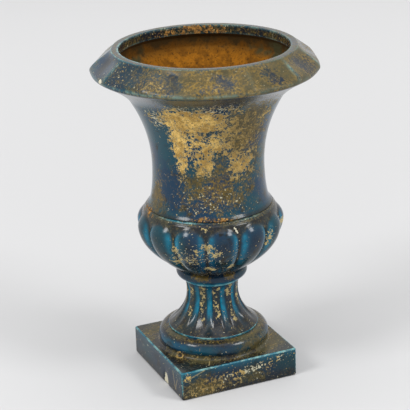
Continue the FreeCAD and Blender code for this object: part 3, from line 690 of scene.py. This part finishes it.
def plinth():
    foot = (TORUS_FOOT, PLINTH_HEIGHT)
    belly = (TORUS_RADIUS, (PLINTH_HEIGHT + STEM_SEAT) / 2)
    top_edge = (TORUS_TOP, STEM_SEAT)
    torus_run = through_three(foot, belly, top_edge)[FILLET_END:]
    fillet_start = (TORUS_FOOT + FILLET_REACH, PLINTH_HEIGHT)
    fillet_pole = (TORUS_FOOT + FILLET_PULL, PLINTH_HEIGHT)
    fillet = bezier(fillet_start, fillet_pole, torus_run[0], spans=12)
    side_foot = (PLINTH_HALF - UNDER_BEVEL_IN, 0.0)
    section = Section([
        ("under", [(PLINTH_ROOM, 0.0), side_foot]),
        ("sides", [side_foot, (PLINTH_HALF, UNDER_BEVEL_UP), (PLINTH_HALF, PLINTH_HEIGHT - PLINTH_BEVEL),
                   (PLINTH_HALF - PLINTH_BEVEL, PLINTH_HEIGHT)]),
        ("top", [(PLINTH_HALF - PLINTH_BEVEL, PLINTH_HEIGHT), fillet[0]]),
        ("fillet", fillet),
        ("torus", torus_run),
        ("joint", [top_edge, (SOCKET_RADIUS, STEM_SEAT)]),
        ("socket", [(SOCKET_RADIUS, STEM_SEAT), (SOCKET_RADIUS, SOCKET_FLOOR),
                    (SOCKET_MOUTH, PLINTH_CEILING)]),
        ("ceiling", [(SOCKET_MOUTH, PLINTH_CEILING), (PLINTH_ROOM, PLINTH_CEILING)]),
        ("hollow", [(PLINTH_ROOM, PLINTH_CEILING), (PLINTH_ROOM, 0.0)]),
    ], softness=0.6, gaps={"sides": 1.8, "top": 0.2, "fillet": 0.6, "torus": 1.3, "joint": 2.0}, fine=0.2)
    steps = 72
    even = np.arange(steps) / steps * 2.0 - 1.0
    along = 0.55 * even + 0.45 * np.sin(0.5 * math.pi * even)  # closer together by the corners
    ones = np.ones(steps)
    four_sides = ((ones, along), (-along, ones), (-ones, -along), (along, -ones))
    square = np.concatenate([np.column_stack(side) for side in four_sides])
    rounding = PLINTH_CORNER / PLINTH_HALF
    inner = np.clip(np.abs(square), 0.0, 1.0 - rounding) * np.sign(square)
    corner = square - inner
    length = np.linalg.norm(corner, axis=1)
    square = inner + corner * (rounding / np.maximum(length, rounding))[:, None]
    circle = square / np.linalg.norm(square, axis=1)[:, None]
    top = section.on("top")
    torus = section.on("fillet", "torus")
    sides = section.on("sides")
    squareness = section.on("under", "sides", "hollow")
    squareness = squareness + top * np.clip(1.25 * (1.0 - section.share[:, None]), 0.0, 1.0)
    squareness = squareness + section.on("ceiling") * section.share[:, None]
    flat = squareness[..., None] * square[None] + (1.0 - squareness[..., None]) * circle[None]
    plane = flat * section.radius[:, None, None]
    x, y = plane[..., 0], plane[..., 1]
    height = np.broadcast_to(section.height[:, None], x.shape)
    chip = sides * (x < -PLINTH_HALF + FACE_DEPTH) * spread_flat(SIDE_CHIP, y, height)
    from_pit = np.linalg.norm(np.stack((x, y, height), axis=-1) - np.array(PLINTH_PIT), axis=-1)
    pit = np.exp(-(from_pit / PIT_RADIUS) ** 4) * (top + torus)
    points = np.stack((x + CHIP_DEPTH * np.minimum(chip, 1.0), y, height - PIT_DEPTH * pit), axis=-1)
    turn = np.degrees(np.arctan2(y, x))
    from_axis = np.hypot(x, y)
    edge, crease = edges_and_creases(section)
    upright = smoothstep(PLINTH_HALF - 2.0, PLINTH_HALF - 0.6, np.minimum(np.abs(x), np.abs(y)))
    edge = np.maximum((edge * section.on("sides", "top")) ** 3, upright * sides)
    edge = edge * 0.75 * smoothstep(2.0, 16.0, height)
    halo = spread(PLINTH_HALO, turn, from_axis) * (top + torus) * (height < PLINTH_HEIGHT + HALO_RISE)
    crust = 0.2 * halo
    front = sides * (y < -PLINTH_HALF + FACE_DEPTH)
    crust = np.maximum(crust, front * covering(spread_flat(FRONT_CRUST, x, height)))
    pool = sides * smoothstep(*SIDE_POOL, height) * np.where(front > 0.0, 0.55, 0.25)
    # painted highlight on the torus, laid as turquoise pool
    pool = pool + torus * spread(TORUS_POOL_AND_SHEEN, turn, height)
    crease = np.maximum(crease * (top + torus), top)
    crease = np.maximum(crease, sides * (0.45 + 0.45 * smoothstep(*SIDE_SHADE, height)))
    torus_brown = np.maximum(smoothstep(*TORUS_FOOT_SHADE, height), smoothstep(*TORUS_TOP_SHADE, height))
    crease = np.maximum(crease, torus * torus_brown)
    crease = np.maximum(crease, torus * spread(DARK_TORUS, turn, height))
    front_fleck = front * spread_flat(FRONT_FLECKS, x, height)
    fleck = np.maximum(0.22 * (top + torus), sides * np.maximum(0.24, front_fleck))
    lit_torus = torus * spread(LIT_TORUS, turn, height)
    under_foot = np.maximum(torus * smoothstep(59.0, 61.5, height), section.on("joint"))
    front_film = front * spread_flat(FRONT_FILM, x, height)
    wash = np.minimum(0.85 * halo + 0.1 * top + lit_torus + 0.6 * under_foot + front_film, 1.0)
    pit_ring = np.exp(-((from_pit - PIT_RING_RADIUS) / PIT_RING_WIDTH) ** 2) * (top + torus)
    crust = np.maximum(crust, 1.2 * pit_ring)
    bare = section.on("under", "socket", "ceiling", "hollow")
    clear = 1.0 - pit
    return skin("plinth", points, "plinth_casting", bare, edge=edge, crease=np.maximum(crease, pit),
                pool=pool, crust=crust * clear, wash=wash * clear, fleck=fleck, chip=chip)


def through_three(first, middle, last, spans=30):
    """Round curve through three points."""
    (ax, ay), (bx, by), (cx, cy) = first, middle, last
    scale = 2.0 * (ax * (by - cy) + bx * (cy - ay) + cx * (ay - by))
    a, b, c = ax * ax + ay * ay, bx * bx + by * by, cx * cx + cy * cy
    x = (a * (by - cy) + b * (cy - ay) + c * (ay - by)) / scale
    y = (a * (cx - bx) + b * (ax - cx) + c * (bx - ax)) / scale
    start = math.degrees(math.atan2(ay - y, ax - x))
    end = math.degrees(math.atan2(cy - y, cx - x))
    return arc((x, y), math.hypot(ax - x, ay - y), start, end, spans)


# Materials
class Nodes:
    """Short ways to add shader nodes to one material."""

    def __init__(self, name):
        self.material = bpy.data.materials.new(name)
        self.material.use_nodes = True
        self.tree = self.material.node_tree
        self.tree.nodes.clear()
        self.place = self.add("ShaderNodeTexCoord").outputs["Object"]
        self.shader = self.add("ShaderNodeBsdfPrincipled")
        output = self.add("ShaderNodeOutputMaterial")
        self.link(self.shader.outputs[0], output.inputs["Surface"])

    def add(self, kind, **settings):
        node = self.tree.nodes.new(kind)
        for key, value in settings.items():
            setattr(node, key, value)
        return node

    def link(self, source, target):
        self.tree.links.new(source, target)

    def feed(self, socket, value):
        if isinstance(value, bpy.types.NodeSocket):
            self.link(value, socket)
        elif isinstance(value, tuple):
            socket.default_value = (*value, 1.0)
        else:
            socket.default_value = value

    def surface(self, key, value):
        self.feed(self.shader.inputs[key], value)

    def math(self, operation, a, b=0.0, clamp=False):
        node = self.add("ShaderNodeMath", operation=operation, use_clamp=clamp)
        self.feed(node.inputs[0], a)
        self.feed(node.inputs[1], b)
        return node.outputs[0]

    def times(self, a, b):
        return self.math("MULTIPLY", a, b)

    def sum(self, first, *others):
        for other in others:
            first = self.math("ADD", first, other)
        return first

    def most(self, first, *others):
        for other in others:
            first = self.math("MAXIMUM", first, other)
        return first

    def mix(self, share, a, b):
        node = self.add("ShaderNodeMix", data_type="RGBA")
        self.feed(node.inputs[0], share)
        self.feed(node.inputs[6], a)
        self.feed(node.inputs[7], b)
        return node.outputs[2]

    def step(self, value, low, high, start=0.0, end=1.0):
        node = self.add("ShaderNodeMapRange", interpolation_type="SMOOTHSTEP")
        self.feed(node.inputs["Value"], value)
        node.inputs["From Min"].default_value = low
        node.inputs["From Max"].default_value = high
        node.inputs["To Min"].default_value = start
        node.inputs["To Max"].default_value = end
        return node.outputs["Result"]

    def noise(self, size, detail=3.0, rough=0.55, twist=0.0):
        """Noise with features of about that size in millimetres, from 0 to 1."""
        node = self.add("ShaderNodeTexNoise")
        self.link(self.place, node.inputs["Vector"])
        node.inputs["Scale"].default_value = 1000.0 / size
        node.inputs["Detail"].default_value = detail
        node.inputs["Roughness"].default_value = rough
        node.inputs["Distortion"].default_value = twist
        return node.outputs["Fac"]

    def about_zero(self, noise, gain):
        return self.times(self.math("SUBTRACT", noise, 0.5), gain)

    def height(self):
        """Height above the floor in millimetres."""
        split = self.add("ShaderNodeSeparateXYZ")
        self.link(self.place, split.inputs[0])
        return self.times(split.outputs["Z"], 1000.0)

    def from_line(self, start, end):
        """Distance in millimetres from a line between two points."""
        start, end = Vector(start) * MM, Vector(end) * MM
        along = end - start
        offset = self.vector("SUBTRACT", self.place, start)
        reach = self.vector("DOT_PRODUCT", offset, along)
        share = self.math("MULTIPLY", reach, 1.0 / along.length_squared, clamp=True)
        scaled = self.add("ShaderNodeVectorMath", operation="SCALE")
        scaled.inputs[0].default_value = along
        self.link(share, scaled.inputs["Scale"])
        gap = self.vector("DISTANCE", offset, scaled.outputs["Vector"])
        return self.times(gap, 1.0 / MM)

    def vector(self, operation, a, b):
        node = self.add("ShaderNodeVectorMath", operation=operation)
        self.feed(node.inputs[0], a)
        self.feed(node.inputs[1], b)
        return node.outputs["Value" if operation in ("DOT_PRODUCT", "DISTANCE") else "Vector"]

    def value(self, name):
        return self.add("ShaderNodeAttribute", attribute_name=name).outputs["Fac"]

    def bumped(self, height, strength, depth):
        bump = self.add("ShaderNodeBump")
        bump.inputs["Strength"].default_value = strength
        bump.inputs["Distance"].default_value = depth * MM
        self.link(height, bump.inputs["Height"])
        self.link(bump.outputs[0], self.shader.inputs["Normal"])


def srgb(*shown):
    """Linear colour from the red, green and blue, 0 to 255, that a picture shows."""
    return tuple(v / 255 / 12.92 if v < 10.3 else ((v / 255 + 0.055) / 1.055) ** 2.4 for v in shown)


def enamel():
    n = Nodes("worn_enamel")
    edge, crease, pool, wash = n.value("edge"), n.value("crease"), n.value("pool"), n.value("wash")
    clouds = n.noise(55.0, 3.0)
    mottle = n.noise(15.0, 5.0, 0.6)
    rag = n.noise(7.0, 9.0, 0.74)
    fine = n.noise(2.8, 4.0, 0.7)
    grit = n.noise(1.5, 2.0)
    # glass: navy, teal where it lies thicker, turquoise where it pools, which also stands as painted
    # highlight on the lobes' upper and left parts and on the torus
    glass = n.mix(n.step(clouds, 0.40, 0.62), srgb(4, 46, 72), srgb(2, 62, 76))
    glass = n.mix(n.step(mottle, 0.54, 0.70), glass, srgb(16, 20, 20))
    pooled = n.times(pool, n.step(mottle, 0.35, 0.62, 1.0, 0.4))
    glass = n.mix(pooled, glass, srgb(8, 124, 154))
    # brown-black patina in the hollows, with painted shade that the crease amount carries under the rim,
    # at the seam and in the rim's dips; a thin grainy olive film, also a painted sheen on the collar and
    # torus
    patina_and_shade = n.times(crease, n.step(mottle, 0.3, 0.55, 1.0, 0.8))
    colour = n.mix(patina_and_shade, glass, n.mix(n.step(fine, 0.52, 0.66), srgb(26, 21, 12), srgb(72, 59, 32)))
    patchy = n.sum(n.about_zero(mottle, 1.6), n.about_zero(clouds, 1.2))
    grain = n.sum(wash, patchy, n.about_zero(rag, 2.0), n.about_zero(fine, 1.8))
    film_and_sheen = n.times(n.step(grain, 0.15, 0.95), n.step(wash, 0.02, 0.3))
    olive = n.mix(n.step(fine, 0.40, 0.62), srgb(80, 67, 26), srgb(134, 106, 34))
    olive = n.mix(n.step(mottle, 0.42, 0.64, 0.0, 0.65), olive, srgb(56, 52, 28))
    olive = n.mix(n.step(clouds, 0.44, 0.62, 0.0, 0.55), olive, srgb(58, 56, 34))
    olive = n.mix(n.times(crease, 0.45), olive, srgb(60, 64, 48))
    colour = n.mix(film_and_sheen, colour, olive)
    # pale glass worn thin on the arrises, and painted highlights on the bead and the rim's ridges from the
    # same edge amount
    wear_and_highlight = n.times(edge, n.step(rag, 0.40, 0.54, 0.25, 1.0))
    colour = n.mix(wear_and_highlight, colour, n.mix(n.step(mottle, 0.42, 0.58), srgb(24, 112, 132), srgb(136, 190, 188)))
    # crust: ragged and pitted, with a thin cream edge, olive where the film is thick
    amount = n.sum(n.value("crust"), n.about_zero(rag, 3.6), n.about_zero(fine, 2.2))
    crust = n.step(amount, 0.50, 0.56)
    crust = n.times(crust, n.step(n.value("crust"), 0.04, 0.15))
    ochre = n.mix(n.step(mottle, 0.38, 0.60), srgb(240, 200, 114), srgb(178, 140, 68))
    ochre = n.mix(n.step(fine, 0.46, 0.66, 0.0, 0.7), ochre, srgb(128, 100, 50))
    ochre = n.mix(n.step(amount, 0.54, 0.72), srgb(186, 176, 134), ochre)
    level = n.height()
    cream = n.times(n.step(level, 50.0, 70.0, 0.0, 0.6), n.step(level, 236.0, 228.0))
    ochre = n.mix(cream, ochre, srgb(194, 180, 130))
    ochre = n.mix(n.times(wash, 0.7), ochre, srgb(122, 104, 62))
    ochre = n.mix(n.step(grit, 0.52, 0.70, 0.0, 0.8), ochre, srgb(96, 80, 44))
    colour = n.mix(crust, colour, ochre)
    # loose flakes
    speck = n.noise(2.6, 2.0, 0.5)
    flake = n.step(n.sum(n.value("fleck"), n.about_zero(speck, 4.0)), 1.0, 1.08)
    colour = n.mix(flake, colour, n.mix(n.step(mottle, 0.46, 0.56), srgb(168, 144, 88), srgb(188, 184, 158)))
    # rust creeping out of the seams, and chips down to the pale ground coat
    creep = n.step(n.sum(n.value("rust"), n.about_zero(rag, 3.4), n.about_zero(fine, 0.8)), 0.44, 0.64)
    creep = n.times(creep, n.step(n.value("rust"), 0.05, 0.2))
    colour = n.mix(creep, colour, n.mix(n.step(fine, 0.44, 0.6), srgb(104, 76, 38), srgb(176, 128, 62)))
    chip = n.step(n.sum(n.value("chip"), n.about_zero(fine, 1.0)), 0.5, 0.6)
    colour = n.mix(chip, colour, srgb(206, 200, 176))
    for start, end in SCRATCHES:
        line = n.step(n.sum(n.from_line(start, end), n.about_zero(fine, 2.4)), 1.0, 0.4, 0.0, 0.6)
        colour = n.mix(line, colour, srgb(172, 154, 106))
    rough_parts = n.most(crust, creep, flake, chip)
    rough = n.math("MAXIMUM", rough_parts, n.times(film_and_sheen, 0.45))
    n.surface("Base Color", colour)
    n.surface("Roughness", n.step(rough, 0.0, 1.0, 0.17, 0.75))
    n.surface("Specular IOR Level", 0.3)
    raised = n.sum(n.times(rough_parts, n.math("ADD", grit, 0.4)), n.times(mottle, 0.5))
    n.bumped(raised, 0.6, 0.5)
    return n.material


def rusty_iron():
    n = Nodes("rusty_iron")
    clouds = n.noise(48.0, 3.0)
    mottle = n.noise(14.0, 5.0, 0.6)
    fine = n.noise(2.8, 4.0, 0.7)
    colour = n.mix(n.step(mottle, 0.38, 0.62), srgb(106, 66, 8), srgb(154, 98, 16))
    shaded = n.step(n.sum(n.height(), n.about_zero(mottle, 60.0)), 400.0, 424.0)
    colour = n.mix(shaded, colour, srgb(60, 44, 18))
    colour = n.mix(n.step(clouds, 0.60, 0.70), colour, srgb(64, 62, 38))
    colour = n.mix(n.step(fine, 0.52, 0.70), colour, srgb(58, 38, 8))
    n.surface("Base Color", colour)
    n.surface("Roughness", 0.85)
    n.surface("Specular IOR Level", 0.15)
    n.bumped(n.sum(mottle, fine), 0.6, 0.6)
    return n.material


def steel():
    n = Nodes("weathered_steel")
    mottle = n.noise(5.0, 5.0, 0.6)
    grit = n.noise(1.2, 3.0)
    colour = n.mix(n.step(mottle, 0.4, 0.6), srgb(92, 88, 84), srgb(104, 64, 34))
    colour = n.mix(n.step(grit, 0.55, 0.75), colour, srgb(60, 42, 26))
    n.surface("Base Color", colour)
    n.surface("Roughness", n.step(mottle, 0.4, 0.6, 0.45, 0.8))
    n.surface("Metallic", 0.4)
    n.bumped(grit, 0.4, 0.2)
    return n.material


castings = [bell(), bowl(), stem(), plinth()]
enamel_material = enamel()
rust_material = rusty_iron()
for casting in castings:
    casting.data.materials.append(enamel_material)
    casting.data.materials.append(rust_material)
steel_material = steel()
for node in ("flange_bolts", "flange_nuts", "flange_washers", "tie_rod", "tie_rod_nuts", "tie_rod_washers",
             "clamp_bar"):
    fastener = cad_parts[node]
    fastener.data.materials.clear()
    fastener.data.materials.append(steel_material)


# Stage, light and camera, with lengths in metres
ROOM_LIGHT = 0.72
ROOM_WHITE = 0.95
STAGE_HALF = 3.2
STAGE_FADE = (0.3, 2.2)  # distances between which the floor turns paler
STAGE_NEAR = (0.58, 0.58, 0.585)
STAGE_FAR = (0.675, 0.675, 0.68)
LIGHT_DISTANCE = 4.5
LIGHT_TARGET = 0.24  # height that the lights point at
SMALL_BOX = 1.3
LARGE_BOX = 4.0
CAMERA_AZIMUTH = -23.38
CAMERA_ELEVATION = 20.35
CAMERA_ROLL = 1.87
CAMERA_DISTANCE = 1.9655
CAMERA_TARGET = 0.2312
CAMERA_LENS = 133.37  # in millimetres, on a sensor 36 mm wide
CAMERA_SHIFT = (-0.0110, -0.0070)


def stage_floor():
    half = STAGE_HALF
    corners = [(-half, -half, 0.0), (half, -half, 0.0), (half, half, 0.0), (-half, half, 0.0)]
    mesh = bpy.data.meshes.new("floor")
    mesh.from_pydata(corners, [], [(0, 1, 2, 3)])
    floor = bpy.data.objects.new("floor", mesh)
    bpy.context.scene.collection.objects.link(floor)
    n = Nodes("pale_floor")
    away = n.add("ShaderNodeVectorMath", operation="LENGTH")
    n.link(n.place, away.inputs[0])
    pale = n.mix(n.step(away.outputs["Value"], *STAGE_FADE), STAGE_NEAR, STAGE_FAR)
    n.surface("Base Color", pale)
    n.surface("Roughness", 0.9)
    n.surface("Specular IOR Level", 0.1)
    mesh.materials.append(n.material)


def softbox(name, azimuth, elevation, size, power):
    lamp = bpy.data.lights.new(name, "AREA")
    lamp.shape = "RECTANGLE"
    lamp.size = size
    lamp.size_y = size
    lamp.energy = power
    light = bpy.data.objects.new(name, lamp)
    bpy.context.scene.collection.objects.link(light)
    back = direction(azimuth, elevation)
    light.location = Vector((0.0, 0.0, LIGHT_TARGET)) + LIGHT_DISTANCE * back
    light.rotation_euler = back.to_track_quat("Z", "Y").to_euler()


def direction(azimuth, elevation):
    a, e = math.radians(azimuth), math.radians(elevation)
    return Vector((math.sin(a) * math.cos(e), -math.cos(a) * math.cos(e), math.sin(e)))


def studio_world():
    """Even light all round, and a white room where it is seen directly or in a reflection."""
    world = bpy.data.worlds.new("studio")
    scene.world = world
    world.use_nodes = True
    tree = world.node_tree
    background = tree.nodes["Background"]
    background.inputs["Color"].default_value = (1.0, 1.0, 1.0, 1.0)
    rays = tree.nodes.new("ShaderNodeLightPath")
    seen = rays.outputs["Is Camera Ray"]
    for kind in ("Is Glossy Ray", "Is Transmission Ray"):
        either = tree.nodes.new("ShaderNodeMath")
        either.operation = "MAXIMUM"
        tree.links.new(seen, either.inputs[0])
        tree.links.new(rays.outputs[kind], either.inputs[1])
        seen = either.outputs[0]
    level = tree.nodes.new("ShaderNodeMapRange")
    level.inputs["To Min"].default_value = ROOM_LIGHT
    level.inputs["To Max"].default_value = ROOM_WHITE
    tree.links.new(seen, level.inputs["Value"])
    tree.links.new(level.outputs["Result"], background.inputs["Strength"])


def photo_camera():
    azimuth = math.radians(CAMERA_AZIMUTH)
    back = direction(CAMERA_AZIMUTH, CAMERA_ELEVATION)
    right = Vector((math.cos(azimuth), math.sin(azimuth), 0.0))
    up = back.cross(right)
    turn = Matrix((right, up, back)).transposed() @ Matrix.Rotation(-math.radians(CAMERA_ROLL), 3, "Z")
    place = Vector((0.0, 0.0, CAMERA_TARGET)) + CAMERA_DISTANCE * back
    camera = bpy.data.objects.new("camera", bpy.data.cameras.new("camera"))
    camera.data.sensor_width = 36.0
    camera.data.lens = CAMERA_LENS
    camera.data.shift_x, camera.data.shift_y = CAMERA_SHIFT
    camera.matrix_world = Matrix.Translation(place) @ turn.to_4x4()
    bpy.context.scene.collection.objects.link(camera)
    bpy.context.scene.camera = camera


scene = bpy.context.scene
scene.view_settings.view_transform = "Standard"
studio_world()
stage_floor()
softbox("softbox_left", -80.0, 42.0, SMALL_BOX, 82.0)
softbox("softbox_right", 38.0, 40.0, SMALL_BOX, 74.0)
softbox("softbox_top", -23.0, 80.0, LARGE_BOX, 70.0)
photo_camera()
